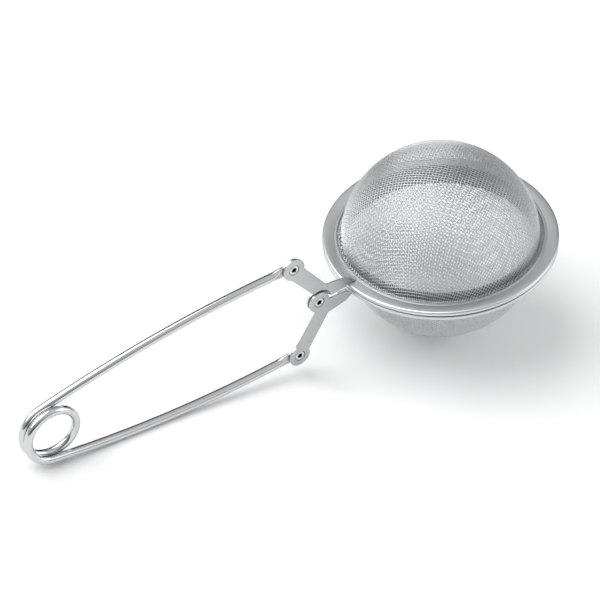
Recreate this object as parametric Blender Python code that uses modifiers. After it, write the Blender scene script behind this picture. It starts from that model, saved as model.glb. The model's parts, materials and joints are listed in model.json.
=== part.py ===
"""A spring-handled mesh tea infuser, at rest with its ball closed, lying on its lower bowl and its coil.

Two woven bowls in sheet-metal rims close into a ball. Each rim is welded to the tab of a stamped link plate,
and the two plates turn on one eyelet rivet behind the ball. The ends of a one-piece spring-wire handle are
riveted behind the plates' rear ears, so squeezing the handle turns the plates and opens the ball.

Shapes are drawn in the infuser's own plane: x runs forward from the link pivot to the ball, z is up and y is
along the pivots. The lower half is an upper half turned 180 degrees about x. The two plates lie in one plane,
and the upper plate steps back round the pivot to pass behind the lower one. One empty then tilts the whole
infuser onto its resting points.
"""

import math

import bmesh
import bpy
from mathutils import Matrix, Vector

MM = 0.001
GAP = 0.3 * MM  # clearance between pieces that touch on the real infuser

# Ball
BALL_X = 38.5 * MM  # centre of the ball, ahead of the link pivot
RIM_R = 30.0 * MM
RIM_TOP = 1.25 * MM  # flange face above the parting plane
RIM_CORNER_R = 0.8 * MM
FLANGE_INNER_R = 26.2 * MM
SHEET = 0.5 * MM
PARTING = GAP / 2  # each half stops this far from the parting plane
BOWL_R = 25.4 * MM  # outside of the mesh at its foot
BOWL_WALL = 0.5 * MM  # two wire diameters
UPPER_BOWL_TOP = 24.2 * MM
LOWER_BOWL_DEPTH = 25.6 * MM
COLLAR_SHEET = 0.4 * MM
COLLAR_TOP = 3.0 * MM

# Links
EAR = Vector((-6.7 * MM, 0.0, 14.4 * MM))  # handle rivet on the upper link
EAR_R = 3.0 * MM
LOBE_R = 2.9 * MM  # round the link pivot
PLATE_NEAR = -1.6 * MM  # y of both plates' outer face
PLATE = 0.6 * MM
STEP = PLATE + GAP  # how far the upper plate steps back round the pivot
STEP_CLEAR_R = LOBE_R + GAP
STEP_WALL = 0.6 * MM
TAB_FAR = 0.0  # the tab's far edge
TAB_BACK_X = 6.4 * MM
TAB_TIP_X = 11.3 * MM
LINK_HOLE_R = 1.25 * MM

# Rivets
SHANK_R = 0.95 * MM
EYELET_BORE_R = 0.55 * MM
HEAD_R = 1.7 * MM
HEAD_H = 0.35 * MM

# Handle
WIRE_R = 1.1 * MM
COIL_X = -76.0 * MM
COIL_R = 6.5 * MM  # to the wire's centre
COIL_PITCH = 2.5 * MM
COIL_LEAVES = math.radians(105)  # where the upper arm runs off the coil, from straight ahead
COIL_SPLIT = math.radians(358.5)  # the wire is cut here, so that the arms can turn
PADDLE_R = 2.5 * MM
PADDLE_H = 0.9 * MM
PADDLE_NEAR = PLATE_NEAR + PLATE + GAP
PADDLE_FAR = PADDLE_NEAR + PADDLE_H
PADDLE_Y = (PADDLE_NEAR + PADDLE_FAR) / 2
UPPER_PADDLE_HOLE_R = 1.6 * MM  # loose, because this pivot is where the linkage is opened
LOWER_PADDLE_HOLE_R = 1.25 * MM
FLAT_FROM = 7.0 * MM  # the wire begins to flatten this far from its rivet
FLAT_TO = 3.6 * MM

PIVOT = Vector((0.0, 0.0, 0.0))
COIL = Vector((COIL_X, 0.0, 0.0))
TURN_OVER = Matrix.Rotation(math.pi, 4, "X")  # upper half to lower half
LOWER_EAR = TURN_OVER @ EAR


def clear_scene():
    for obj in list(bpy.data.objects):
        bpy.data.objects.remove(obj, do_unlink=True)


def new_collection(name):
    collection = bpy.data.collections.new(name)
    bpy.context.scene.collection.children.link(collection)
    return collection


def steel(name, colour, roughness):
    material = bpy.data.materials.new(name)
    material.use_nodes = True
    shader = material.node_tree.nodes["Principled BSDF"]
    shader.inputs["Base Color"].default_value = (*colour, 1.0)
    shader.inputs["Metallic"].default_value = 1.0
    shader.inputs["Roughness"].default_value = roughness
    material.diffuse_color = (*colour, 1.0)
    return material


def empty_at(name, place, parent, collection):
    empty = bpy.data.objects.new(name, None)
    empty.empty_display_size = 5 * MM
    empty.location = place
    empty.parent = parent
    collection.objects.link(empty)
    return empty


def bowl_radius(z, top, inset):
    """Radius at height z of the bowl's half ellipse, moved inwards by inset."""
    foot = RIM_TOP - SHEET
    share = (z - foot) / (top - inset - foot)
    return (BOWL_R - inset) * math.sqrt(max(0.0, 1.0 - share * share))


def arc(centre, radius, start, end, steps):
    """Points (x, z) on an arc, with angles in degrees."""
    angles = [math.radians(start + (end - start) * i / steps) for i in range(steps + 1)]
    return [(centre[0] + radius * math.cos(a), centre[1] + radius * math.sin(a)) for a in angles]


def rim_profile():
    corner = (RIM_R - RIM_CORNER_R, RIM_TOP - RIM_CORNER_R)
    outside = arc(corner, RIM_CORNER_R, 90, 0, 4)
    inside = arc(corner, RIM_CORNER_R - SHEET, 0, 90, 3)
    lip = [(RIM_R, PARTING), (RIM_R - SHEET, PARTING)]
    inner_edge = [(FLANGE_INNER_R, RIM_TOP - SHEET), (FLANGE_INNER_R, RIM_TOP)]
    return outside + lip + inside + inner_edge


def collar_profile(top):
    foot_top = PARTING + GAP
    heights = [foot_top + (COLLAR_TOP - foot_top) * i / 3 for i in range(4)]
    outer = [(bowl_radius(z, top, BOWL_WALL) - GAP, z) for z in heights]
    inner = [(r - COLLAR_SHEET, z) for r, z in outer]
    reach = RIM_R - SHEET - GAP
    foot = [(reach, foot_top), (reach, PARTING), (inner[0][0], PARTING)]
    return outer[::-1] + foot + inner[1:]


def bowl_profile(top):
    """From the pole down the outside, across the foot and up the inside to the pole."""
    foot = RIM_TOP - SHEET
    turns = [math.radians(90 - 9 * i) for i in range(11)]
    outer = [(BOWL_R * math.cos(t), foot + (top - foot) * math.sin(t)) for t in turns]
    inner_r = BOWL_R - BOWL_WALL
    inner_top = top - BOWL_WALL
    inner = [(inner_r * math.cos(t), foot + (inner_top - foot) * math.sin(t)) for t in turns]
    outer[0] = (0.0, top)
    inner[0] = (0.0, inner_top)
    return outer + inner[::-1]


def turned(name, profile, closed, steps, material, collection):
    """A profile of (radius, height) points turned round z with a Screw modifier."""
    points = [(r, 0.0, z) for r, z in profile]
    edges = [(i, i + 1) for i in range(len(points) - 1)]
    if closed:
        edges.append((len(points) - 1, 0))
    mesh = bpy.data.meshes.new(name)
    mesh.from_pydata(points, edges, [])
    mesh.materials.append(material)
    obj = bpy.data.objects.new(name, mesh)
    collection.objects.link(obj)
    screw = obj.modifiers.new("turn", "SCREW")
    screw.steps = steps
    screw.render_steps = steps
    screw.use_merge_vertices = True
    screw.merge_threshold = 1e-6
    screw.use_smooth_shade = True
    return obj


def plate(name, outline, low, high, material, collection, inset=0.0):
    """An outline in the xz plane, given anticlockwise, moved in by inset, made solid from y = low to y = high."""
    curve = bpy.data.curves.new(name, "CURVE")
    curve.dimensions = "2D"
    curve.fill_mode = "BOTH"
    curve.extrude = (high - low) / 2
    curve.offset = -inset
    spline = curve.splines.new("POLY")
    spline.points.add(len(outline) - 1)
    for point, (x, z) in zip(spline.points, outline):
        point.co = (x, z, 0.0, 1.0)
    spline.use_cyclic_u = True
    obj = bpy.data.objects.new(name, curve)
    obj.matrix_world = Matrix.Translation((0, (low + high) / 2, 0)) @ Matrix.Rotation(math.pi / 2, 4, "X")
    collection.objects.link(obj)
    return to_mesh_object(obj, material, collection)


def to_mesh_object(curve_object, material, collection):
    """The curve object as a welded mesh object of the same name, in place of the curve."""
    bpy.context.view_layer.update()
    graph = bpy.context.evaluated_depsgraph_get()
    mesh = bpy.data.meshes.new_from_object(curve_object.evaluated_get(graph))
    name = curve_object.name
    place = curve_object.matrix_world.copy()
    bpy.data.objects.remove(curve_object, do_unlink=True)
    mesh.transform(place)
    work = bmesh.new()
    work.from_mesh(mesh)
    bmesh.ops.remove_doubles(work, verts=work.verts, dist=1e-6)
    bmesh.ops.recalc_face_normals(work, faces=work.faces)
    work.to_mesh(mesh)
    work.free()
    mesh.materials.clear()
    mesh.materials.append(material)
    obj = bpy.data.objects.new(name, mesh)
    collection.objects.link(obj)
    return obj


def rod(name, radius, low, high, place, material, collection):
    """A cylinder along y from low to high, through place."""
    work = bmesh.new()
    turn = Matrix.Translation((place.x, (low + high) / 2, place.z)) @ Matrix.Rotation(math.pi / 2, 4, "X")
    bmesh.ops.create_cone(
        work,
        cap_ends=True,
        segments=20,
        radius1=radius,
        radius2=radius,
        depth=high - low,
        matrix=turn,
    )
    mesh = bpy.data.meshes.new(name)
    work.to_mesh(mesh)
    work.free()
    mesh.materials.append(material)
    obj = bpy.data.objects.new(name, mesh)
    collection.objects.link(obj)
    return obj


def hide(obj):
    obj.hide_render = True
    obj.display_type = "WIRE"
    return obj


def combine(obj, other, operation):
    boolean = obj.modifiers.new(other.name, "BOOLEAN")
    boolean.operation = operation
    boolean.solver = "EXACT"
    boolean.object = hide(other)


def bake(obj):
    """The object's mesh with its modifiers applied."""
    bpy.context.view_layer.update()
    graph = bpy.context.evaluated_depsgraph_get()
    mesh = bpy.data.meshes.new_from_object(obj.evaluated_get(graph))
    obj.modifiers.clear()
    obj.data = mesh


def link_outline():
    """The upper link plate: ear, strip, pivot lobe and front arm, anticlockwise from the ear."""
    ear = arc((EAR.x, EAR.z), EAR_R, -17, 252, 14)
    lobe = arc((PIVOT.x, PIVOT.z), LOBE_R, 112, 368, 14)
    seat = RIM_TOP + GAP
    under = [(8.0 * MM, 0.85 * MM), (8.2 * MM, seat), (10.4 * MM, seat)]
    nose = [(10.4 * MM, 2.1 * MM), (9.9 * MM, 2.5 * MM), (8.0 * MM, 3.7 * MM)]
    over = [(6.3 * MM, 4.05 * MM), (3.7 * MM, 4.6 * MM)]
    corner = arc((3.2 * MM, 6.2 * MM), 1.6 * MM, 270, 218, 4)
    return ear + lobe + under + nose + over + corner


def stepped_pivot(name, low, high, back, material, cutters):
    """The part of the link round its pivot, moved back, with the wall that joins it to the plate."""
    wall_r = STEP_CLEAR_R + STEP_WALL
    overlap = 0.1 * MM
    outline = link_outline()
    lobe = plate(name + "_lobe", outline, low + back, high + back, material, cutters)
    keep = rod(name + "_keep", wall_r - overlap, -5 * MM, 5 * MM, PIVOT, material, cutters)
    combine(lobe, keep, "INTERSECT")
    wall = plate(name + "_wall", outline, low + overlap, high + back - overlap, material, cutters, overlap)
    round_wall = rod(name + "_round_wall", wall_r, -5 * MM, 5 * MM, PIVOT, material, cutters)
    inside = rod(name + "_inside", STEP_CLEAR_R, -5 * MM, 5 * MM, PIVOT, material, cutters)
    combine(wall, round_wall, "INTERSECT")
    combine(wall, inside, "DIFFERENCE")
    bake(lobe)
    bake(wall)
    return lobe, wall


def make_link(name, low, stepped, material, parts, cutters):
    """An upper link: a stamped plate with a tab for the flange, drilled for its two rivets."""
    high = low + PLATE
    link = plate(name, link_outline(), low, high, material, parts)
    if stepped:
        clear_r = STEP_CLEAR_R + STEP_WALL / 3
        clear = rod(name + "_clear", clear_r, -5 * MM, 5 * MM, PIVOT, material, cutters)
        combine(link, clear, "DIFFERENCE")
        for piece in stepped_pivot(name, low, high, STEP, material, cutters):
            combine(link, piece, "UNION")
    near_edge, far_edge = sorted((math.copysign(PLATE_NEAR, low), math.copysign(TAB_FAR, low)))
    seat = RIM_TOP + GAP
    tab_side = [(TAB_BACK_X, seat), (TAB_TIP_X, seat), (TAB_TIP_X, seat + SHEET), (TAB_BACK_X, seat + SHEET)]
    inset = 0.05 * MM
    tab = plate(name + "_tab", tab_side, near_edge + inset, far_edge - inset, material, cutters)
    combine(link, tab, "UNION")
    for place in (EAR, PIVOT):
        drill = rod(name + "_drill", LINK_HOLE_R, -5 * MM, 5 * MM, place, material, cutters)
        combine(link, drill, "DIFFERENCE")
    bake(link)
    return link


def make_rivet(name, place, low, high, material, parts):
    """A hollow rivet along y, with its heads just outside y = low and y = high."""
    half = (high - low) / 2 + GAP / 2
    tip = half + HEAD_H
    soft = HEAD_H / 2
    near = [(EYELET_BORE_R, tip), (HEAD_R - soft, tip), (HEAD_R, tip - soft), (HEAD_R, half), (SHANK_R, half)]
    far = [(r, -z) for r, z in near[::-1]]
    rivet = turned(name, near + far, True, 20, material, parts)
    bake(rivet)
    lie_along_y = Matrix.Rotation(math.pi / 2, 4, "X")
    rivet.data.transform(Matrix.Translation((place.x, (low + high) / 2, place.z)) @ lie_along_y)
    return rivet


def coil_y(angle):
    """Where the wire lies across the coil: the upper arm runs in on the far side of the lower arm."""
    middle = 2 * math.pi
    return COIL_PITCH * (middle - angle) / (2 * math.pi)


def arm_points(end_y):
    """The upper arm's centre line, from the cut in the coil, round the back, and forward to the ear."""
    coil_steps = 17
    arm_steps = 12
    points = []
    for i in range(coil_steps + 1):
        angle = COIL_SPLIT + (COIL_LEAVES - COIL_SPLIT) * i / coil_steps
        points.append(COIL + Vector((COIL_R * math.cos(angle), coil_y(angle), COIL_R * math.sin(angle))))
    start = points[-1]
    chord = Vector((EAR.x - start.x, 0.0, EAR.z - start.z))
    leaves = COIL_LEAVES - math.pi / 2
    bend = leaves - math.atan2(chord.z, chord.x)
    radius = chord.length / (2 * math.sin(bend))
    for i in range(1, arm_steps + 1):
        share = i / arm_steps
        turned_by = 2 * bend * share
        heading = leaves - turned_by / 2
        reach = 2 * radius * math.sin(turned_by / 2)
        y = start.y + (end_y - start.y) * share
        points.append(Vector((start.x + reach * math.cos(heading), y, start.z + reach * math.sin(heading))))
    return points


def flatten_end(mesh, heading, end_y):
    """Presses the wire flat near its rivet, thinner along y and wider across."""
    along = Vector((-math.cos(heading), 0.0, -math.sin(heading)))
    across = Vector((-along.z, 0.0, along.x))
    thin = PADDLE_H / (2 * WIRE_R)
    for vertex in mesh.vertices:
        offset = vertex.co - EAR
        distance = offset.dot(along)
        if abs(offset.dot(across)) > 3 * WIRE_R or distance > FLAT_FROM:
            continue
        share = min(1.0, (FLAT_FROM - distance) / (FLAT_FROM - FLAT_TO))
        share = share * share * (3 - 2 * share)
        vertex.co.y = end_y + (vertex.co.y - end_y) * (1 + (thin - 1) * share)
        vertex.co += across * offset.dot(across) * 0.35 * share


def make_arm(name, hole_r, end_y, material, parts, cutters):
    """The upper arm of the handle: half of the coil, the bowed wire, and its flattened, drilled end."""
    points = arm_points(end_y)
    curve = bpy.data.curves.new(name, "CURVE")
    curve.dimensions = "3D"
    curve.bevel_depth = WIRE_R
    curve.bevel_resolution = 2
    curve.use_fill_caps = True
    run = points[-1] - points[-2]
    heading = math.atan2(run.z, run.x)
    stops = [0.75, 0.6, 0.45, 0.3, 0.15]
    near_end = [points[-1] - run * s for s in stops]
    path = points[:-1] + near_end
    spline = curve.splines.new("POLY")
    spline.points.add(len(path) - 1)
    for point, place in zip(spline.points, path):
        point.co = (*place, 1.0)
    obj = bpy.data.objects.new(name, curve)
    parts.objects.link(obj)
    arm = to_mesh_object(obj, material, parts)
    flatten_end(arm.data, heading, end_y)
    low = end_y - PADDLE_H / 2
    high = end_y + PADDLE_H / 2
    paddle = rod(name + "_paddle", PADDLE_R, low + 0.01 * MM, high - 0.01 * MM, EAR, material, cutters)
    drill = rod(name + "_drill", hole_r, -4 * MM, 4 * MM, EAR, material, cutters)
    combine(arm, paddle, "UNION")
    combine(arm, drill, "DIFFERENCE")
    bake(arm)
    return arm


def resting_tilt():
    """The angle by which the ball end lies higher, with the coil and the lower bowl on one plane."""
    coil_outer = COIL_R + WIRE_R
    foot = RIM_TOP - SHEET
    depth = LOWER_BOWL_DEPTH - foot
    tilt = 0.0
    for _ in range(20):
        reach = math.hypot(BOWL_R * math.sin(tilt), depth * math.cos(tilt)) + foot * math.cos(tilt)
        tilt = math.asin((reach - coil_outer) / (BALL_X - COIL_X))
    return tilt


def hang(obj, joint_empty, joint_place):
    """Puts the object's origin on its joint's axis and parents it to the empty there."""
    obj.data.transform(Matrix.Translation(-joint_place))
    obj.parent = joint_empty


def stand_on_origin(root, pieces):
    """Moves the infuser so that the middle of its footprint is the origin and its lowest point is at z = 0."""
    bpy.context.view_layer.update()
    graph = bpy.context.evaluated_depsgraph_get()
    corners = []
    for piece in pieces:
        solid = piece.evaluated_get(graph)
        mesh = solid.to_mesh()
        corners += [solid.matrix_world @ vertex.co for vertex in mesh.vertices]
        solid.to_mesh_clear()
    low = Vector([min(c[i] for c in corners) for i in range(3)])
    high = Vector([max(c[i] for c in corners) for i in range(3)])
    root.location = Vector((-(low.x + high.x) / 2, -(low.y + high.y) / 2, -low.z))


def soften(obj):
    """Smooth shading, kept sharp along real edges."""
    obj.data.shade_smooth()
    obj.data.set_sharp_from_angle(angle=math.radians(35))


def ball_half(prefix, top, lower, materials, parts):
    """Rim, collar and mesh bowl of one half, centred on the ball and turned over for the lower half."""
    rim_steel, collar_steel, mesh_steel = materials
    rim = turned(prefix + "_rim_ring", rim_profile(), True, 72, rim_steel, parts)
    collar = turned(prefix + "_collar", collar_profile(top), True, 60, collar_steel, parts)
    bowl = turned(prefix + "_mesh_bowl", bowl_profile(top), False, 48, mesh_steel, parts)
    place = Matrix.Translation((BALL_X, 0, 0))
    for piece in (rim, collar, bowl):
        bake(piece)
        if lower:
            piece.data.transform(TURN_OVER)
        piece.data.transform(place)
    return [rim, collar, bowl]


def build():
    clear_scene()
    parts = new_collection("tea_infuser")
    cutters = new_collection("cutters")
    wire_steel = steel("polished_wire", (0.78, 0.78, 0.78), 0.15)
    link_steel = steel("satin_link_sheet", (0.62, 0.62, 0.63), 0.35)
    rim_steel = steel("satin_rim_sheet", (0.56, 0.57, 0.58), 0.38)
    collar_steel = steel("collar_sheet", (0.50, 0.51, 0.52), 0.40)
    mesh_steel = steel("woven_mesh", (0.66, 0.66, 0.67), 0.40)
    rivet_steel = steel("rivet", (0.66, 0.66, 0.67), 0.30)

    root = empty_at("infuser", PIVOT, None, parts)
    jaw_axis = empty_at("jaw_axis", PIVOT, root, parts)
    lower_ear_axis = empty_at("lower_ear_axis", LOWER_EAR, root, parts)
    coil_axis = empty_at("coil_axis", COIL, root, parts)

    ball_steels = (rim_steel, collar_steel, mesh_steel)
    upper_half = ball_half("upper", UPPER_BOWL_TOP, False, ball_steels, parts)
    lower_half = ball_half("lower", LOWER_BOWL_DEPTH, True, ball_steels, parts)

    upper_link = make_link("upper_link", PLATE_NEAR, True, link_steel, parts, cutters)
    lower_link = make_link("lower_link", -PLATE_NEAR - PLATE, False, link_steel, parts, cutters)
    lower_link.data.transform(TURN_OVER)

    pivot_far = PLATE_NEAR + PLATE + STEP
    pivot_rivet = make_rivet("pivot_rivet", PIVOT, PLATE_NEAR, pivot_far, rivet_steel, parts)
    upper_rivet = make_rivet("upper_handle_rivet", EAR, PLATE_NEAR, PADDLE_FAR, rivet_steel, parts)
    lower_rivet = make_rivet("lower_handle_rivet", EAR, -PADDLE_FAR, -PLATE_NEAR, rivet_steel, parts)
    lower_rivet.data.transform(TURN_OVER)

    upper_arm = make_arm("upper_handle_arm", UPPER_PADDLE_HOLE_R, PADDLE_Y, wire_steel, parts, cutters)
    lower_arm = make_arm("lower_handle_arm", LOWER_PADDLE_HOLE_R, -PADDLE_Y, wire_steel, parts, cutters)
    lower_arm.data.transform(TURN_OVER)

    for piece in lower_half + [lower_link, pivot_rivet, lower_rivet]:
        hang(piece, root, PIVOT)
    for piece in upper_half + [upper_link, upper_rivet]:
        hang(piece, jaw_axis, PIVOT)
    hang(lower_arm, lower_ear_axis, LOWER_EAR)
    hang(upper_arm, coil_axis, COIL)

    pieces = [obj for obj in parts.objects if obj.type == "MESH"]
    for piece in pieces:
        soften(piece)
    root.rotation_euler = (0.0, -resting_tilt(), 0.0)
    stand_on_origin(root, pieces)


build()
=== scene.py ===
"""Looks of the spring-handled mesh tea infuser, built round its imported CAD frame.

Shapes are drawn in the infuser's own axes, in millimetres: x runs forward from the link pivot to the ball,
z is up and y is along the pivots. The lower half is the upper half turned over about x. AXES puts them in
the frame.
"""

import json
import math
import random

import bmesh
import bpy
import numpy as np
from mathutils import Matrix, Vector


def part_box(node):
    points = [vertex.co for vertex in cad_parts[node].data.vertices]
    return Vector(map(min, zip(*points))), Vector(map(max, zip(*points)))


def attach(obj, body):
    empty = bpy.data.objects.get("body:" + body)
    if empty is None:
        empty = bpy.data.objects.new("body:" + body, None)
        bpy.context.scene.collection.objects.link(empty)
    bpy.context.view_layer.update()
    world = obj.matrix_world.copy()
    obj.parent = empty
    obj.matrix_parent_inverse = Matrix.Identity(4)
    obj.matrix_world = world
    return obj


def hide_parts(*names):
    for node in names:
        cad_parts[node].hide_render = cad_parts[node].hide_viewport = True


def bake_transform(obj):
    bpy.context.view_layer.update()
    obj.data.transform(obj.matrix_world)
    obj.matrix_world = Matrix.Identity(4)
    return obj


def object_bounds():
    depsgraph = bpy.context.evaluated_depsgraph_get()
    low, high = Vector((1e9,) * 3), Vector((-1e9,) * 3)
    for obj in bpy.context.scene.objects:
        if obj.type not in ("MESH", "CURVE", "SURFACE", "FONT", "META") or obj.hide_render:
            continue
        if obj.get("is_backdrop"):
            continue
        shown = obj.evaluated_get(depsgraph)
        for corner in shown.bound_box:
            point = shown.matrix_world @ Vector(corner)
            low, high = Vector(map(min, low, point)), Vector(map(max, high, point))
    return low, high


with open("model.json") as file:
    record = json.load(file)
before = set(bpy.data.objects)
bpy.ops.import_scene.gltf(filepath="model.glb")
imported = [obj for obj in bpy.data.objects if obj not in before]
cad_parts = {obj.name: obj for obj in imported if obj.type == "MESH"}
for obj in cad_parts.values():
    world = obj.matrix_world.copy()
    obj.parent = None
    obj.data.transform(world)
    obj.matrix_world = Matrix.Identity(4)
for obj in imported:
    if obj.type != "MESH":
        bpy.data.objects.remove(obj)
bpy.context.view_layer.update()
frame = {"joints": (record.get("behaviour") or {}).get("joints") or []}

MM = 0.001
PLACE = {joint["name"]: Vector(joint["pos_m"]) for joint in frame["joints"]}


def infuser_axes():
    """From the infuser's own axes, in millimetres, to the frame, in metres."""
    forward = (PLACE["jaw"] - PLACE["coil_flex"]).normalized()
    sideways = Vector((0, 1, 0))
    up = forward.cross(sideways)
    turn = Matrix((forward, sideways, up)).transposed().to_4x4()
    return Matrix.Translation(PLACE["jaw"]) @ turn @ Matrix.Scale(MM, 4)


AXES = infuser_axes()
TURN_OVER = Matrix.Rotation(math.pi, 4, "X")


def own(point):
    """A point of the frame in the infuser's own axes."""
    return AXES.inverted() @ Vector(point)


def middle_of(*nodes):
    corners = [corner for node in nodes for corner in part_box(node)]
    return Vector([(min(c[i] for c in corners) + max(c[i] for c in corners)) / 2 for i in range(3)])


def half_width(node):
    low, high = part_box(node)
    return (high.y - low.y) / 2 / MM


# Ball
BALL = own(middle_of("upper_rim_ring", "lower_rim_ring"))
RIM_R = half_width("upper_rim_ring")
BOWL_R = half_width("upper_mesh_bowl")
SHEET = 0.5  # thickness of the rims and of the links' tabs
RIM_TOP = 1.25
RIM_CORNER_R = 0.52
RIM_SEGMENTS = 192
FLANGE_INNER_R = 26.2
# Pairs of outward and down from the flange's inner edge: a turned bead, a groove, and a dish to the corner
FLANGE_DISH = ((0.5, 0.04), (0.6, 0.3), (0.72, 0.3), (0.8, 0.2), (1.5, 0.12), (2.3, 0.04))
PARTING = 0.15  # how far rims and inner bands stay off the plane between the halves
BOWL_FOOT = RIM_TOP - SHEET
UPPER_BOWL_TOP = 24.2
UPPER_BOWL_POWER = 1.09  # above 1 draws the bowl in between its foot and its top
LOWER_BOWL_DEPTH = 25.6
LOWER_BOWL_POWER = 1.0
COLLAR_TOP = 3.0
COLLAR_SHEET = 0.4
COLLAR_CLEARANCE = 0.04  # added to one wire thickness, from the cloth's middle surface to the band
COLLAR_POINTS = 40
COLLAR_SEGMENTS = 160

# Woven mesh
WIRE_D = 0.23
CRIMP = 0.16  # height of a wire's wave in wire diameters; real cloth has 0.5, so here crossing wires overlap
WARP_PITCH = 0.76  # both pitches are those of the flat cloth, before it is pressed into a bowl
WEFT_PITCH = 0.82
UPPER_WEAVE_TURN = math.radians(39.5)
LOWER_WEAVE_TURN = math.radians(-7)
WANDER = 0.035  # the most that a wire lies from its even place, in pitches
STATIONS = 2  # points on a wire's line from one crossing to the next
SHORTEST = 6  # a wire with fewer points than this is left out
TUBE_SIDES = 6
FLARE_R = 0.75  # of the bend where the cloth turns out under the flange
FLARE_END_R = 27.0
FLARE_DROP = 0.12  # how far the turned-out cloth lies below BOWL_FOOT
PRESS_REACH = 38.0  # radius on the flat cloth at which the next two amounts hold; they grow with its square
PRESS_STRETCH = 0.06  # the cloth is drawn out by twice this along its wires, and not at all halfway between
PRESS_SHEAR = 0.08  # points are swung towards the nearest wire direction by up to this, in radians

# Links and rivets
EAR = TURN_OVER @ own(PLACE["lower_handle_pivot"])
EAR_R = 3.0
LOBE_R = 2.9
PLATE = 0.55  # thickness
PLATE_NEAR = -1.6  # y of both plates' outer face
STEP = 0.95  # how far the upper plate steps back to pass behind the lower plate
STEP_FROM_R = 3.05  # inside this radius from the pivot the step is full
STEP_TO_R = 3.75  # and at this one it has ended
EDGE = 0.1  # rounding of the edges of plates and tabs
SEAT = 0.02  # how far the tabs and the plates' feet stand off the flange
TAB_INSET = 0.02  # of the tab's near edge from its plate's outer face
TAB_FAR = 0.1  # y of both tabs' far edges
TAB_BACK_X = 6.4
TAB_TIP_X = 11.3
TAB_CORNER_R = 0.5
LINK_HOLE_R = 1.45
RIVET_SEGMENTS = 48
RIVET_R = 0.95
RIVET_BORE_R = 0.6
BORE_FLOOR = 0.5  # height of the blind bore's floor above the foot of the shank
HEAD_R = 1.34
HEAD_H = 0.3
HEAD_SUNK = 0.22  # this and the next two are depths below the rivet's near end: where the head starts,
HEAD_EDGE = 0.45  # where its outer edge ends
HEAD_UNDER = 0.5  # and where its underside meets the shank
HEAD_FULLNESS = 0.7  # below 1 makes the head's section fuller than a half ellipse
DOME_H = 0.4
# Painted shadow: a nearly black colour for the inside of the rivets' bores, where shade lies deep in them.
BORE_SHADOW_COLOUR = (0.02, 0.02, 0.02)

# Handle
HANDLE_WIRE_R = 1.1
HANDLE_SIDES = 24
COIL_AXIS = own(PLACE["coil_flex"])
COIL = COIL_AXIS + Vector((0.25, 0, 0.25))  # middle of the drawn coil, a little forward and up of the joint
COIL_R = 6.75
COIL_PITCH = 2.5
COIL_LEAVES = math.radians(105)
COIL_STEPS = 110
ARM_STEPS = 150
PADDLE_R = 2.6
PADDLE_H = 0.95  # thickness of the flattened end
PADDLE_GAP = 0.1  # between a plate and the flattened end beside it
PADDLE_STEPS = 10
PADDLE_NEAR = PLATE_NEAR + PLATE + PADDLE_GAP
PADDLE_FAR = PADDLE_NEAR + PADDLE_H
CLOSE_HOLE_R = 1.15
OPEN_HOLE_R = 1.6  # leaves room for the 0.6 mm that the upper pivot drifts by
FLAT_FROM = 6.0  # distance from the ear's pivot at which the wire starts to flatten
FLAT_TO = 3.0  # and at which it is flat
FLAT_WIDENS = 0.35
FLAT_SQUARES = 0.45
END_THINNEST = 0.35  # how thin the rounded end gets towards its edge, as a share
TIP_WIDE = 0.02
TIP_THICK = 0.1
WIRE_UV = "along_and_round"  # millimetres along the wire and round it


# ---------------------------------------------------------------- materials


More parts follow.
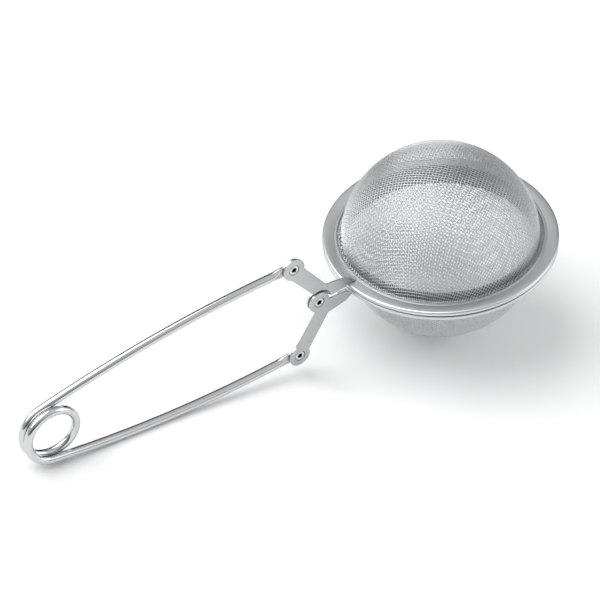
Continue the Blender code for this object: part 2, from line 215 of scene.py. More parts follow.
class Shader:
    """A small helper that makes a material's nodes and links them in order."""

    def __init__(self, name, colour, roughness):
        self.material = bpy.data.materials.new(name)
        self.material.use_nodes = True
        self.tree = self.material.node_tree
        self.principled = self.tree.nodes["Principled BSDF"]
        self.principled.inputs["Metallic"].default_value = 1.0
        self.colour = colour
        self.roughness = roughness
        self.material.diffuse_color = (*colour, 1.0)

    def node(self, kind, **inputs):
        made = self.tree.nodes.new(kind)
        for name, value in inputs.items():
            socket = made.inputs[name.replace("_", " ")]
            if isinstance(value, bpy.types.NodeSocket):
                self.tree.links.new(value, socket)
            else:
                socket.default_value = value
        return made

    def math(self, operation, first, second):
        made = self.tree.nodes.new("ShaderNodeMath")
        made.operation = operation
        for socket, value in zip(made.inputs, (first, second)):
            if isinstance(value, bpy.types.NodeSocket):
                self.tree.links.new(value, socket)
            else:
                socket.default_value = value
        return made.outputs[0]

    def between(self, value, low, high, start=0.3, end=0.7):
        """Maps value from start..end to low..high."""
        made = self.node("ShaderNodeMapRange")
        self.tree.links.new(value, made.inputs["Value"])
        made.inputs["From Min"].default_value = start
        made.inputs["From Max"].default_value = end
        made.inputs["To Min"].default_value = low
        made.inputs["To Max"].default_value = high
        return made.outputs["Result"]

    def noise(self, vector, scale, detail=2.0):
        return self.node("ShaderNodeTexNoise", Vector=vector, Scale=scale, Detail=detail).outputs["Fac"]

    def stretched(self, amounts):
        """Object coordinates in millimetres, stretched by an amount along each axis."""
        place = self.tree.nodes.new("ShaderNodeTexCoord").outputs["Object"]
        return self.node("ShaderNodeMapping", Vector=place, Scale=amounts).outputs["Vector"]

    def radius(self):
        """Distance from the piece's own z axis, in millimetres."""
        place = self.tree.nodes.new("ShaderNodeTexCoord").outputs["Object"]
        flat = self.node("ShaderNodeVectorMath")
        flat.operation = "MULTIPLY"
        self.tree.links.new(place, flat.inputs[0])
        flat.inputs[1].default_value = (1.0, 1.0, 0.0)
        length = self.node("ShaderNodeVectorMath")
        length.operation = "LENGTH"
        self.tree.links.new(flat.outputs[0], length.inputs[0])
        return length.outputs["Value"]

    def darken(self, shade, colour):
        """Turns the base colour to a dark one where shade is 1. Used to paint the shadow deep in the rivets'
        bores.
        """
        mix = self.tree.nodes.new("ShaderNodeMix")
        mix.data_type = "RGBA"
        base = self.principled.inputs["Base Color"]
        self.tree.links.new(base.links[0].from_socket, mix.inputs[6])
        self.tree.links.new(shade, mix.inputs["Factor"])
        mix.inputs[7].default_value = (*colour, 1.0)
        self.tree.links.new(mix.outputs[2], base)

    def paint(self, shade, low, high):
        """Base colour between low and high times the material's colour, where shade says."""
        dark = tuple(c * low for c in self.colour) + (1.0,)
        light = tuple(min(1.0, c * high) for c in self.colour) + (1.0,)
        mix = self.tree.nodes.new("ShaderNodeMix")
        mix.data_type = "RGBA"
        self.tree.links.new(shade, mix.inputs["Factor"])
        mix.inputs[6].default_value = dark
        mix.inputs[7].default_value = light
        self.tree.links.new(mix.outputs[2], self.principled.inputs["Base Color"])

    def roughen(self, shade, spread):
        rough = self.between(shade, self.roughness - spread, self.roughness + spread)
        self.tree.links.new(rough, self.principled.inputs["Roughness"])

    def bump(self, height, strength, distance):
        made = self.node("ShaderNodeBump", Height=height, Strength=strength, Distance=distance)
        self.tree.links.new(made.outputs["Normal"], self.principled.inputs["Normal"])


def drawn_wire_steel():
    """Bright drawn wire, with faint die lines along it and small dull patches."""
    steel = Shader("drawn_wire_steel", (0.62, 0.625, 0.63), 0.12)
    unrolled = steel.tree.nodes.new("ShaderNodeUVMap")
    unrolled.uv_map = WIRE_UV
    stretch = steel.node("ShaderNodeMapping", Vector=unrolled.outputs["UV"], Scale=(0.15, 5.0, 1.0))
    lines = steel.noise(stretch.outputs["Vector"], 3.0, 3.0)
    patches = steel.noise(unrolled.outputs["UV"], 0.3)
    steel.paint(patches, 0.95, 1.03)
    steel.roughen(lines, 0.05)
    steel.bump(lines, 0.08, 0.02 * MM)
    return steel.material


def link_sheet_steel():
    """Stamped sheet: satin, with a fine grain and soft smudges."""
    steel = Shader("link_sheet_steel", (0.53, 0.535, 0.545), 0.34)
    grain = steel.noise(steel.stretched((1.0, 1.0, 1.0)), 9.0, 4.0)
    smudges = steel.noise(steel.stretched((0.25, 0.25, 0.25)), 1.0)
    steel.paint(smudges, 0.93, 1.05)
    steel.roughen(grain, 0.07)
    steel.bump(grain, 0.12, 0.03 * MM)
    return steel.material


def spun_steel(name, colour, roughness):
    """Sheet turned on a lathe: fine grooves run round the ball's axis."""
    steel = Shader(name, colour, roughness)
    rings = steel.tree.nodes.new("ShaderNodeTexNoise")
    rings.noise_dimensions = "1D"
    rings.inputs["Scale"].default_value = 9.0
    rings.inputs["Detail"].default_value = 3.0
    steel.tree.links.new(steel.radius(), rings.inputs["W"])
    smudges = steel.noise(steel.stretched((0.12, 0.12, 0.12)), 1.0)
    steel.paint(smudges, 0.94, 1.05)
    steel.roughen(rings.outputs["Fac"], 0.05)
    steel.bump(rings.outputs["Fac"], 0.15, 0.02 * MM)
    steel.principled.inputs["Anisotropic"].default_value = 0.3
    tangent = steel.tree.nodes.new("ShaderNodeTangent")
    tangent.direction_type = "RADIAL"
    tangent.axis = "Z"
    steel.tree.links.new(tangent.outputs["Tangent"], steel.principled.inputs["Tangent"])
    return steel.material


def woven_steel():
    """Fine woven wire, with soft patches a little lighter or darker."""
    steel = Shader("woven_steel", (0.655, 0.66, 0.67), 0.30)
    patches = steel.noise(steel.stretched((0.2, 0.2, 0.2)), 1.0)
    grain = steel.noise(steel.stretched((1.0, 1.0, 1.0)), 4.0)
    steel.paint(patches, 0.94, 1.04)
    steel.roughen(grain, 0.06)
    return steel.material


def eyelet_steel():
    """Rivet steel. The bore has a nearly black colour, which stands in for the shadow deep inside it."""
    steel = Shader("eyelet_steel", (0.70, 0.70, 0.71), 0.27)
    grain = steel.noise(steel.stretched((1.0, 1.0, 1.0)), 6.0, 3.0)
    steel.paint(grain, 0.92, 1.05)
    steel.roughen(grain, 0.06)
    steel.bump(grain, 0.1, 0.02 * MM)
    # Painted shadow: the bore's walls and floor are coloured nearly black in place of the shade deep inside
    # it.
    painted_bore_shadow = steel.between(steel.radius(), 1.0, 0.0, RIVET_BORE_R, RIVET_BORE_R + 0.08)
    steel.darken(painted_bore_shadow, BORE_SHADOW_COLOUR)
    return steel.material


# ---------------------------------------------------------------- mesh helpers


def add_mesh(name, points, faces, material, matrix):
    mesh = bpy.data.meshes.new(name)
    mesh.from_pydata(points, [], faces)
    mesh.materials.append(material)
    mesh.shade_smooth()
    obj = bpy.data.objects.new(name, mesh)
    bpy.context.scene.collection.objects.link(obj)
    obj.matrix_world = matrix
    return obj


def arc(centre, radius, start, end, steps):
    """Points on an arc in the xz plane, with angles in degrees."""
    angles = [math.radians(start + (end - start) * i / steps) for i in range(steps + 1)]
    return [(centre[0] + radius * math.cos(a), centre[1] + radius * math.sin(a)) for a in angles]


def sharpen(obj, degrees):
    obj.data.shade_smooth()
    obj.data.set_sharp_from_angle(angle=math.radians(degrees))


def face_outward(mesh, merge=None):
    """Turns the faces outward, after merging points closer than merge where that is given."""
    work = bmesh.new()
    work.from_mesh(mesh)
    if merge is not None:
        bmesh.ops.remove_doubles(work, verts=work.verts, dist=merge)
    bmesh.ops.recalc_face_normals(work, faces=work.faces)
    work.to_mesh(mesh)
    work.free()


def evaluated_mesh(obj):
    """A new mesh of a curve, or of a mesh with its modifiers applied."""
    bpy.context.view_layer.update()
    graph = bpy.context.evaluated_depsgraph_get()
    return bpy.data.meshes.new_from_object(obj.evaluated_get(graph))


def turned(name, profile, segments, material, matrix):
    """A closed profile of (radius, height) turned round z. Its direction does not matter."""
    points = []
    faces = []
    count = len(profile)
    for i in range(segments):
        angle = 2 * math.pi * i / segments
        points += [(r * math.cos(angle), r * math.sin(angle), z) for r, z in profile]
        after = (i + 1) % segments
        for j in range(count):
            k = (j + 1) % count
            faces.append((i * count + j, after * count + j, after * count + k, i * count + k))
    obj = add_mesh(name, points, faces, material, matrix)
    face_outward(obj.data, merge=1e-5)
    sharpen(obj, 40)
    return obj


def square_to(centres, normals):
    """Unit vectors square to a line at each of its points: outward, nearest the normal, and across."""
    along = np.gradient(centres, axis=0)
    along /= np.linalg.norm(along, axis=1)[:, None]
    outward = normals - (normals * along).sum(1)[:, None] * along
    outward /= np.linalg.norm(outward, axis=1)[:, None]
    return outward, np.cross(along, outward)


def tube_faces(rings, sides, base=0):
    """Faces of a tube with closed ends, whose points are numbered ring by ring from base."""
    faces = []
    for i in range(rings - 1):
        a = base + i * sides
        b = a + sides
        for j in range(sides):
            k = (j + 1) % sides
            faces.append((a + j, a + k, b + k, b + j))
    last = base + (rings - 1) * sides
    faces.append(tuple(base + j for j in range(sides))[::-1])
    faces.append(tuple(last + j for j in range(sides)))
    return faces


def tube(centres, normals, radius, sides):
    """Rings of points round a line of centres, one ring for each centre, starting from its normal."""
    outward, across = square_to(centres, normals)
    turns = np.arange(sides) * 2 * math.pi / sides
    ring = np.cos(turns)[None, :, None] * outward[:, None] + np.sin(turns)[None, :, None] * across[:, None]
    return centres[:, None] + radius * ring


# ---------------------------------------------------------------- woven bowls


class Bowl:
    """The cloth's middle surface: a half ellipse, drawn in by a power above 1, that turns out at its foot."""

    def __init__(self, top, power):
        inset = WIRE_D
        fine = 4000
        rise = top - BOWL_FOOT - inset
        turns = np.linspace(0, math.pi / 2, fine)
        radius = (BOWL_R - inset) * np.sin(turns)
        height = BOWL_FOOT + rise * np.cos(turns) ** power
        flare_z = BOWL_FOOT - FLARE_DROP
        keep = height > flare_z + FLARE_R
        radius, height = radius[keep], height[keep]
        start = radius[-1]
        bend_points = 200
        sweep = np.linspace(0, math.pi / 2, bend_points)
        flare_radius = start + FLARE_R * (1 - np.cos(sweep))
        flare_height = flare_z + FLARE_R * (1 - np.sin(sweep))
        radius = np.concatenate([radius, flare_radius[1:], [FLARE_END_R]])
        height = np.concatenate([height, flare_height[1:], [flare_z]])
        self.radius = radius
        self.height = height
        steps = np.hypot(np.diff(radius), np.diff(height))
        self.reach = np.concatenate([[0], np.cumsum(steps)])
        self.slope_r = np.gradient(radius, self.reach)
        self.slope_z = np.gradient(height, self.reach)

    def press(self, x, y, weave_turn):
        """Where points of the flat cloth go: (points, outward normals, reach along the bowl)."""
        flat = np.hypot(x, y)
        bearing = np.arctan2(y, x)
        strain = (flat / PRESS_REACH) ** 2
        reach = flat * (1 + PRESS_STRETCH * strain * (1 + np.cos(4 * bearing)))
        bearing = bearing - PRESS_SHEAR * strain * np.sin(4 * bearing) + weave_turn
        r = np.interp(reach, self.reach, self.radius)
        z = np.interp(reach, self.reach, self.height)
        dr = np.interp(reach, self.reach, self.slope_r)
        dz = np.interp(reach, self.reach, self.slope_z)
        c, s = np.cos(bearing), np.sin(bearing)
        points = np.stack([r * c, r * s, z], axis=1)
        normals = np.stack([-dz * c, -dz * s, dr], axis=1)
        return points, normals, reach


def woven_family(name, bowl, weave_turn, across, material, matrix):
    """All wires of the cloth that run one way, each a tube that waves over and under at its crossings."""
    limit = bowl.reach[-1]
    pitch, crossed = (WEFT_PITCH, WARP_PITCH) if across else (WARP_PITCH, WEFT_PITCH)
    count = int(limit / min(pitch, crossed)) + 2
    points = []
    faces = []
    shaken = random.Random(7 if across else 11)
    for row in range(-count, count + 1):
        offset = (row + shaken.uniform(-WANDER, WANDER)) * pitch
        stations = np.arange(-count * STATIONS, count * STATIONS + 1) / STATIONS
        along = stations * crossed
        fixed = np.full_like(along, offset)
        x, y = (along, fixed) if across else (fixed, along)
        centres, normals, reach = bowl.press(x, y, weave_turn)
        inside = reach < limit
        if inside.sum() < SHORTEST:
            continue
        wave = np.cos(math.pi * (stations + row)) * (1 if across else -1)
        centres = centres + normals * (wave * WIRE_D * CRIMP)[:, None]
        rings = tube(centres[inside], normals[inside], WIRE_D / 2, TUBE_SIDES)
        faces.extend(tube_faces(len(rings), TUBE_SIDES, len(points)))
        points.extend(map(tuple, rings.reshape(-1, 3)))
    return add_mesh(name, points, faces, material, matrix)


# ---------------------------------------------------------------- rims and collars


def rim_profile():
    """Flange with a rounded inner edge, a bead, a groove and a dish, then a rolled corner and a short lip."""
    half = SHEET / 2
    corner = (RIM_R - RIM_CORNER_R, RIM_TOP - RIM_CORNER_R)
    inner_edge = arc((FLANGE_INNER_R + half, RIM_TOP - half), half, 270, 90, 6)
    groove = [(FLANGE_INNER_R + out, RIM_TOP - deep) for out, deep in FLANGE_DISH]
    outside = arc(corner, RIM_CORNER_R, 90, 0, 10)
    lip_end = arc((RIM_R - half, PARTING + half), half, 0, -180, 6)
    inside = arc(corner, RIM_CORNER_R - SHEET, 0, 90, 6)
    return inner_edge + groove + outside + lip_end + inside


def collar_profile(bowl):
    """Thin band inside the cloth, following it down and out to a foot with its underside flat at PARTING."""
    gap = WIRE_D + COLLAR_CLEARANCE
    keep = bowl.height < COLLAR_TOP
    radius = bowl.radius[keep]
    height = bowl.height[keep]
    normal_r = -bowl.slope_z[keep]
    normal_z = bowl.slope_r[keep]
    spaced = np.unique(np.linspace(0, len(radius) - 1, COLLAR_POINTS).astype(int))
    outer = [(radius[i] - gap * normal_r[i], height[i] - gap * normal_z[i]) for i in spaced]
    deep = gap + COLLAR_SHEET
    inner = [(radius[i] - deep * normal_r[i], max(PARTING, height[i] - deep * normal_z[i])) for i in spaced]
    return outer + inner[::-1]


# ---------------------------------------------------------------- links


def cut_sheet(name, outline, thickness, place, material):
    """A flat outline made solid to both sides of its own plane, with softened edges, then put in place."""
    curve = bpy.data.curves.new(name, "CURVE")
    curve.dimensions = "2D"
    curve.fill_mode = "BOTH"
    curve.extrude = thickness / 2 - EDGE
    curve.bevel_depth = EDGE
    curve.bevel_resolution = 2
    curve.offset = -EDGE
    spline = curve.splines.new("POLY")
    spline.points.add(len(outline) - 1)
    for point, (first, second) in zip(spline.points, outline):
        point.co = (first, second, 0.0, 1.0)
    spline.use_cyclic_u = True
    obj = bpy.data.objects.new(name, curve)
    obj.matrix_world = place
    bpy.context.scene.collection.objects.link(obj)
    return to_mesh_object(obj, material)


def plate(name, outline, low, high, material):
    """An outline in the xz plane made solid from y = low to y = high."""
    place = Matrix.Translation((0, (low + high) / 2, 0)) @ Matrix.Rotation(math.pi / 2, 4, "X")
    return cut_sheet(name, outline, high - low, place, material)


def to_mesh_object(obj, material):
    """Replaces a curve by a mesh of the same name, with its place applied."""
    mesh = evaluated_mesh(obj)
    name = obj.name
    mesh.transform(obj.matrix_world)
    bpy.data.objects.remove(obj, do_unlink=True)
    face_outward(mesh, merge=1e-4)
    mesh.materials.clear()
    mesh.materials.append(material)
    made = bpy.data.objects.new(name, mesh)
    bpy.context.scene.collection.objects.link(made)
    return made


def rod(name, radius, low, high, place, sides=48):
    """A plain cylinder along y, used only as a cutter."""
    work = bmesh.new()
    turn = Matrix.Translation((place.x, (low + high) / 2, place.z)) @ Matrix.Rotation(math.pi / 2, 4, "X")
    bmesh.ops.create_cone(
        work, cap_ends=True, segments=sides, radius1=radius, radius2=radius, depth=high - low, matrix=turn
    )
    mesh = bpy.data.meshes.new(name)
    work.to_mesh(mesh)
    work.free()
    obj = bpy.data.objects.new(name, mesh)
    bpy.context.scene.collection.objects.link(obj)
    return obj


def combine(obj, other, operation):
    """Applies a Boolean with other, and removes other."""
    boolean = obj.modifiers.new(other.name, "BOOLEAN")
    boolean.operation = operation
    boolean.object = other
    mesh = evaluated_mesh(obj)
    obj.modifiers.clear()
    obj.data = mesh
    bpy.data.objects.remove(other, do_unlink=True)


def link_outline():
    """The upper link plate: ear, strip, pivot lobe and front arm, anticlockwise from the ear."""
    ear = arc((EAR.x, EAR.z), EAR_R, -17, 252, 40)
    lobe = arc((0, 0), LOBE_R, 112, 368, 40)
    seat = RIM_TOP + SEAT
    under = [(8.0, 0.85), (8.3, 0.95), (8.38, seat), (10.3, seat)]
    nose = [(10.4, 1.4), (10.4, 1.9), (10.2, 2.2), (9.8, 2.5), (8.1, 3.6), (7.7, 3.8)]
    over = [(6.3, 4.0), (3.7, 4.5)]
    corner = arc((3.1, 5.7), 1.2, 270, 218, 8)
    return ear + lobe + under + nose + over + corner


def slice_finely(mesh, reach, spacing):
    """Cuts the mesh along a fine grid round the pivot, so that it can be bent smoothly."""
    work = bmesh.new()
    work.from_mesh(mesh)
    cuts = int(reach / spacing)
    wider = reach * 1.6
    shift = 0.013  # of the whole grid, so that no cut runs exactly through the pivot
    for axis in (Vector((1, 0, 0)), Vector((0, 0, 1))):
        for i in range(-cuts, cuts + 1):
            near = [f for f in work.faces if min(v.co.length for v in f.verts) < wider]
            around = set(near)
            around.update(e for f in near for e in f.edges)
            around.update(v for f in near for v in f.verts)
            place = axis * (i * spacing + shift)
            bmesh.ops.bisect_plane(work, geom=list(around), plane_co=place, plane_no=axis, dist=1e-5)
    work.to_mesh(mesh)
    work.free()


def step_back(mesh, amount):
    """Presses the plate back round the pivot, smoothly, so that it passes behind the other plate."""
    slice_finely(mesh, reach=STEP_TO_R + 0.4, spacing=0.2)
    for vertex in mesh.vertices:
        out = math.hypot(vertex.co.x, vertex.co.z)
        share = min(1.0, max(0.0, (STEP_TO_R - out) / (STEP_TO_R - STEP_FROM_R)))
        vertex.co.y += amount * share * share * (3 - 2 * share)


def make_tab(name, near, far, material):
    """The strip folded off the plate to lie on the flange, with its far corners rounded."""
    side = math.copysign(1, far - near)
    reach = TAB_TIP_X - TAB_CORNER_R
    tip = arc((reach, far - side * TAB_CORNER_R), TAB_CORNER_R, 90 * side, 0, 6)
    back_tip = arc((reach, near + side * TAB_CORNER_R), TAB_CORNER_R, 0, -90 * side, 6)
    outline = [(TAB_BACK_X, near), (TAB_BACK_X, far)] + tip + back_tip
    if side > 0:
        outline = outline[::-1]
    return cut_sheet(name, outline, SHEET, Matrix.Translation((0, 0, RIM_TOP + SEAT + SHEET / 2)), material)


def make_link(name, low, stepped, material, matrix):
    """A stamped plate with a tab for the flange, drilled for its two rivets."""
    link = plate(name, link_outline(), low, low + PLATE, material)
    near, far = (low + TAB_INSET, TAB_FAR) if low < 0 else (low + PLATE - TAB_INSET, -TAB_FAR)
    combine(link, make_tab(name + "_tab", near, far, material), "UNION")
    for place in (EAR, Vector((0, 0, 0))):
        combine(link, rod(name + "_drill", LINK_HOLE_R, low=-5, high=5, place=place), "DIFFERENCE")
    if stepped:
        step_back(link.data, STEP)
    link.matrix_world = matrix
    sharpen(link, 30)
    return link


def rolled_head(outer, base, height):
    """Half the section of a rolled eyelet head, from its bore out to its rim."""
    mid = (outer + RIVET_BORE_R) / 2
    half = (outer - RIVET_BORE_R) / 2
    angles = [math.radians(180 - 18 * i) for i in range(11)]
    return [(mid + half * math.cos(a), base + height * math.sin(a) ** HEAD_FULLNESS) for a in angles]


def make_rivet(name, place, low, high, faces_near, material, matrix):
    """A semi-tubular rivet along y, with a low dome at its far end.

    The near end, on the camera's side, has a rolled head round a blind bore.
    """
    half = (high - low) / 2
    chamfer = 0.1
    floor = -half + BORE_FLOOR
    bored = [(0.0, floor), (RIVET_BORE_R - chamfer, floor), (RIVET_BORE_R, floor + chamfer)]
    head = rolled_head(HEAD_R, half - HEAD_SUNK, HEAD_H)
    shank = [(HEAD_R, half - HEAD_EDGE), (RIVET_R, half - HEAD_UNDER), (RIVET_R, -half), (HEAD_R, -half)]
    dome = [(HEAD_R * math.cos(a), -half - DOME_H * math.sin(a)) for a in (0.3, 0.6, 0.9, 1.2, 1.45)]
    profile = bored + head + shank + dome + [(0.0, -half - DOME_H)]
    quarter = math.pi / 2 if faces_near else -math.pi / 2
    lie = Matrix.Translation((place.x, (low + high) / 2, place.z)) @ Matrix.Rotation(quarter, 4, "X")
    return turned(name, profile, RIVET_SEGMENTS, material, matrix @ lie)


# ---------------------------------------------------------------- handle


def coil_y(angle):
    """Sideways place of the coil at an angle. It is 0 at one whole turn, halfway along the coil."""
    return COIL_PITCH * (2 * math.pi - angle) / (2 * math.pi)


def coil_point(angle):
    """A point of the coil from the coil's middle."""
    return Vector((COIL_R * math.cos(angle), coil_y(angle), COIL_R * math.sin(angle)))


def arm_line(coil, end_y):
    """The bowed upper arm from the coil to the ear, as points at even steps."""
    start = coil + coil_point(COIL_LEAVES)
    chord = Vector((EAR.x - start.x, 0.0, EAR.z - start.z))
    leaves = COIL_LEAVES - math.pi / 2
    bend = leaves - math.atan2(chord.z, chord.x)
    radius = chord.length / (2 * math.sin(bend))
    points = []
    for i in range(1, ARM_STEPS + 1):
        share = i / ARM_STEPS
        turned_by = 2 * bend * share
        heading = leaves - turned_by / 2
        reach = 2 * radius * math.sin(turned_by / 2)
        y = start.y + (end_y - start.y) * coil_slide(share)
        points.append(Vector((start.x + reach * math.cos(heading), y, start.z + reach * math.sin(heading))))
    return points


def coil_slide(share):
    """How far the arm has moved sideways from the coil's edge to the link, leaving without a kink."""
    return 1 - (1 - share) ** 2


def handle_line():
    """The whole wire from the upper ear, round the coil, to the lower ear."""
    paddle_y = (PADDLE_NEAR + PADDLE_FAR) / 2
    upper = arm_line(COIL, paddle_y)
    last = 4 * math.pi - COIL_LEAVES
    coil = []
    for i in range(COIL_STEPS + 1):
        coil.append(COIL + coil_point(COIL_LEAVES + (last - COIL_LEAVES) * i / COIL_STEPS))
    lower = [TURN_OVER @ p for p in arm_line(TURN_OVER @ COIL, -paddle_y)]
    return upper[::-1] + coil + lower


def flat_share(distance):
    """How far the wire is flattened at a distance from the nearer ear, from 0 to 1."""
    share = min(1.0, max(0.0, (FLAT_FROM - distance) / (FLAT_FROM - FLAT_TO)))
    return share * share * (3 - 2 * share)


def unroll(mesh, length, sides):
    """Stores for each corner how far it is along the wire and round it."""
    layer = mesh.uv_layers.new(name=WIRE_UV)
    for polygon in mesh.polygons:
        seam = len(polygon.vertices) == 4 and {v % sides for v in polygon.vertices} == {0, sides - 1}
        for loop, vertex in zip(polygon.loop_indices, polygon.vertices):
            round_it = sides if seam and vertex % sides == 0 else vertex % sides
            layer.data[loop].uv = (length[vertex // sides], round_it * 2 * math.pi * HANDLE_WIRE_R / sides)


def wire_section(distance, beyond):
    """Half thickness, half width and the power that squares the section, near an ear or beyond it."""
    share = 1.0 if beyond else flat_share(distance)
    thick = HANDLE_WIRE_R + (PADDLE_H / 2 - HANDLE_WIRE_R) * share
    wide = HANDLE_WIRE_R * (1 + FLAT_WIDENS * share)
    if distance < PADDLE_R:
        round_end = math.sqrt(max(0.0, PADDLE_R**2 - distance**2))
        wide = round_end if beyond else max(wide, round_end)
        if beyond:
            thick *= min(1.0, END_THINNEST + round_end / PADDLE_R)
    elif beyond:
        wide = TIP_WIDE
        thick = TIP_THICK
    return thick, wide, 1 - FLAT_SQUARES * share


def make_handle(material):
    """One bent spring wire whose two ends are pressed flat, rounded and drilled for the rivets."""
    line = handle_line()
    first = (line[0] - line[1]).normalized()
    first.y = 0
    last = (line[-1] - line[-2]).normalized()
    last.y = 0
    ends = [PADDLE_R * math.sin(math.pi / 2 * i / PADDLE_STEPS) for i in range(1, PADDLE_STEPS + 1)]
    start_points = [line[0] + first * reach for reach in ends][::-1]
    end_points = [line[-1] + last * reach for reach in ends]
    centres = np.array([tuple(p) for p in start_points + line + end_points])
    outward, across = square_to(centres, np.array([[0.0, 1.0, 0.0]]))
    total = len(centres)
    points = []
    for i in range(total):
        to_start = (Vector(centres[i]) - line[0]).length
        to_end = (Vector(centres[i]) - line[-1]).length
        beyond = i < PADDLE_STEPS or i >= total - PADDLE_STEPS
        thick, wide, power = wire_section(min(to_start, to_end), beyond)
        for j in range(HANDLE_SIDES):
            turn = 2 * math.pi * j / HANDLE_SIDES
            c, s = math.cos(turn), math.sin(turn)
            c = math.copysign(abs(c) ** power, c)
            s = math.copysign(abs(s) ** power, s)
            points.append(tuple(centres[i] + outward[i] * thick * c + across[i] * wide * s))
    faces = tube_faces(total, HANDLE_SIDES)
    handle = add_mesh("spring_handle_wire", points, faces, material, Matrix.Identity(4))
    length = np.concatenate([[0], np.cumsum(np.linalg.norm(np.diff(centres, axis=0), axis=1))])
    unroll(handle.data, length, HANDLE_SIDES)
    face_outward(handle.data)
    for place, hole_r in ((EAR, OPEN_HOLE_R), (TURN_OVER @ EAR, CLOSE_HOLE_R)):
        combine(handle, rod("handle_drill", hole_r, low=-4, high=4, place=place), "DIFFERENCE")
    handle.data.transform(AXES)
    sharpen(handle, 40)
    return handle


# ---------------------------------------------------------------- build

mesh_steel = woven_steel()
rim_steel = spun_steel("spun_rim_steel", (0.65, 0.655, 0.665), 0.34)
# The inner band's colour is kept dark to paint the shade that it lies in behind the woven mesh.
collar_steel_painted_shade = spun_steel("collar_steel_painted_shade", (0.32, 0.325, 0.335), 0.36)
link_steel = link_sheet_steel()
rivet_steel = eyelet_steel()
wire_steel = drawn_wire_steel()

BALL_AT = Matrix.Translation((BALL.x, 0, 0))


def make_half(prefix, bowl, weave_turn, half_axes):
    """Rim, collar and both wire families of one half of the ball."""
    place = half_axes @ BALL_AT
    rim = turned(prefix + "_rim", rim_profile(), RIM_SEGMENTS, rim_steel, place)
    collar = turned(prefix + "_inner_band", collar_profile(bowl), COLLAR_SEGMENTS, collar_steel_painted_shade, place)
    warp = woven_family(prefix + "_warp_wires", bowl, weave_turn, False, mesh_steel, place)
    weft = woven_family(prefix + "_weft_wires", bowl, weave_turn, True, mesh_steel, place)
    for piece, node, slot in (
        (rim, "rim_ring", "rim_sheet"),
        (collar, "collar", "collar_sheet"),
        (warp, "mesh_bowl", "woven_mesh"),
        (weft, "mesh_bowl", "woven_mesh"),
    ):
        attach(piece, prefix + "_half")
        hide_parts(prefix + "_" + node)


upper_bowl = Bowl(UPPER_BOWL_TOP, UPPER_BOWL_POWER)
lower_bowl = Bowl(LOWER_BOWL_DEPTH, LOWER_BOWL_POWER)
make_half("upper", upper_bowl, UPPER_WEAVE_TURN, AXES)
make_half("lower", lower_bowl, LOWER_WEAVE_TURN, AXES @ TURN_OVER)

for prefix, half_axes, faces_near in (("upper", AXES, True), ("lower", AXES @ TURN_OVER, False)):
    low = PLATE_NEAR if faces_near else -PLATE_NEAR - PLATE
    ends = (PLATE_NEAR, PADDLE_FAR) if faces_near else (-PADDLE_FAR, -PLATE_NEAR)
    link = make_link(prefix + "_link_plate", low, faces_near, link_steel, half_axes)
    rivet = make_rivet(prefix + "_handle_eyelet", EAR, *ends, faces_near, rivet_steel, half_axes)
    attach(link, prefix + "_half")
    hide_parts(prefix + "_link")
    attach(rivet, prefix + "_half")
    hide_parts(prefix + "_handle_rivet")

pivot_far = PLATE_NEAR + PLATE + STEP
pivot = make_rivet("pivot_eyelet", Vector((0, 0, 0)), PLATE_NEAR, pivot_far, True, rivet_steel, AXES)
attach(pivot, "lower_half")
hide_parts("pivot_rivet")

handle = make_handle(wire_steel)
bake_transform(handle)
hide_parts("upper_handle_arm", "lower_handle_arm")


# ---------------------------------------------------------------- studio

CAMERA_BEARING = -0.667
CAMERA_RIGHT = Vector((math.cos(CAMERA_BEARING), math.sin(CAMERA_BEARING), 0))
CAMERA_AHEAD = Vector((-math.sin(CAMERA_BEARING), math.cos(CAMERA_BEARING), 0))
UP = Vector((0, 0, 1))
FRAMING = -0.18 * MM * CAMERA_RIGHT + 0.21 * MM * UP  # small last shift of the camera, aim and all
TENT_LOW = 0.13  # strength of the tent at the horizon
TENT_TOP = 0.75  # and overhead
TENT_SIDE = 0.45  # added on the left and the right of the camera
TENT_BACK = -0.25  # added behind the infuser, where the sum is below zero up to about 20 degrees


def area_light(name, place, target, width, height, power):
    data = bpy.data.lights.new(name, "AREA")
    data.shape = "RECTANGLE"
    data.size = width
    data.size_y = height
    data.energy = power
    light = bpy.data.objects.new(name, data)
    bpy.context.scene.collection.objects.link(light)
    light.location = place
    light.rotation_euler = (Vector(target) - Vector(place)).to_track_quat("-Z", "Y").to_euler()


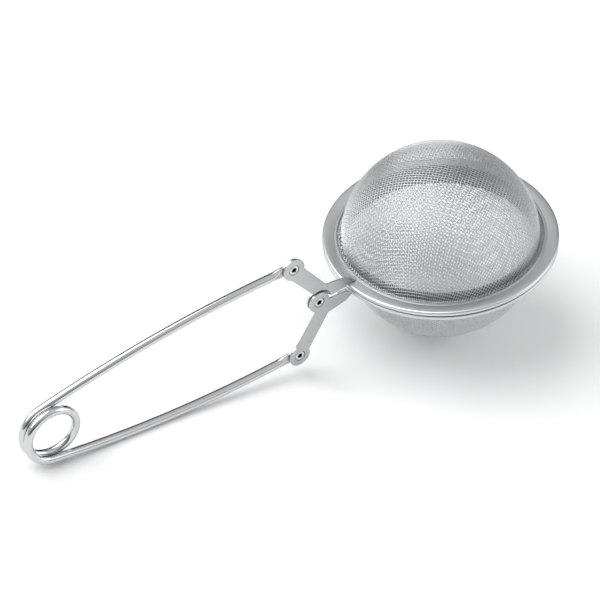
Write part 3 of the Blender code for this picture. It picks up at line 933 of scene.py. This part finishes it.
def make_floor():
    size = 3.0
    bpy.ops.mesh.primitive_grid_add(x_subdivisions=2, y_subdivisions=2, size=size, location=(0, 0, 0))
    floor = bpy.context.object
    floor.name = "studio_floor"
    material = bpy.data.materials.new("studio_floor")
    material.use_nodes = True
    shader = material.node_tree.nodes["Principled BSDF"]
    shader.inputs["Base Color"].default_value = (0.92, 0.92, 0.92, 1)
    shader.inputs["Roughness"].default_value = 0.9
    floor.data.materials.append(material)
    floor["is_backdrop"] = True


def make_world():
    """A white tent, brightest overhead and at both sides of the camera, and dimmest behind the infuser."""
    world = bpy.data.worlds.new("studio")
    bpy.context.scene.world = world
    world.use_nodes = True
    tree = world.node_tree
    place = tree.nodes.new("ShaderNodeTexCoord").outputs["Generated"]

    def share(direction, low, high, start, end):
        dot = tree.nodes.new("ShaderNodeVectorMath")
        dot.operation = "DOT_PRODUCT"
        tree.links.new(place, dot.inputs[0])
        dot.inputs[1].default_value = direction
        grow = tree.nodes.new("ShaderNodeMapRange")
        grow.interpolation_type = "SMOOTHSTEP"
        tree.links.new(dot.outputs["Value"], grow.inputs["Value"])
        grow.inputs["From Min"].default_value = start
        grow.inputs["From Max"].default_value = end
        grow.inputs["To Min"].default_value = low
        grow.inputs["To Max"].default_value = high
        return grow.outputs["Result"]

    parts = [
        share((0, 0, 1), TENT_LOW, TENT_TOP, 0.1, 1.0),
        share(CAMERA_RIGHT, 0.0, TENT_SIDE, 0.35, 0.9),
        share(-CAMERA_RIGHT, 0.0, TENT_SIDE, 0.35, 0.9),
        share(CAMERA_AHEAD, 0.0, TENT_BACK, 0.3, 0.8),
    ]
    total = parts[0]
    for part in parts[1:]:
        add = tree.nodes.new("ShaderNodeMath")
        add.operation = "ADD"
        tree.links.new(total, add.inputs[0])
        tree.links.new(part, add.inputs[1])
        total = add.outputs[0]
    tree.links.new(total, tree.nodes["Background"].inputs["Strength"])
    tree.nodes["Background"].inputs["Color"].default_value = (0.985, 0.99, 1, 1)


def make_camera():
    """Looks down over the handle's side, a little rolled."""
    lift = 0.656
    roll = 0.102
    distance = 0.6
    target = Vector((0.01992, 0.02186, 0.00064)) + FRAMING
    view = math.cos(lift) * CAMERA_AHEAD - math.sin(lift) * UP
    upward = math.sin(lift) * CAMERA_AHEAD + math.cos(lift) * UP
    right = math.cos(roll) * CAMERA_RIGHT + math.sin(roll) * upward
    top = math.cos(roll) * upward - math.sin(roll) * CAMERA_RIGHT
    data = bpy.data.cameras.new("camera")
    data.sensor_width = 36
    data.lens = 137.82
    data.clip_start = 0.01
    camera = bpy.data.objects.new("camera", data)
    turn = Matrix((right, top, -view)).transposed().to_4x4()
    camera.matrix_world = Matrix.Translation(target - distance * view) @ turn
    bpy.context.scene.collection.objects.link(camera)
    bpy.context.scene.camera = camera


make_floor()
make_world()
make_camera()
area_light("key", -0.8 * CAMERA_RIGHT + 1.1 * UP, (0, 0, 0), width=1.5, height=1.5, power=18)
fill_place = 1.2 * CAMERA_RIGHT + 0.1 * CAMERA_AHEAD + 0.5 * UP
area_light("fill", fill_place, (0, 0, 0), width=0.8, height=1.0, power=3)
bpy.context.scene.view_settings.view_transform = "Standard"

low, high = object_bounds()
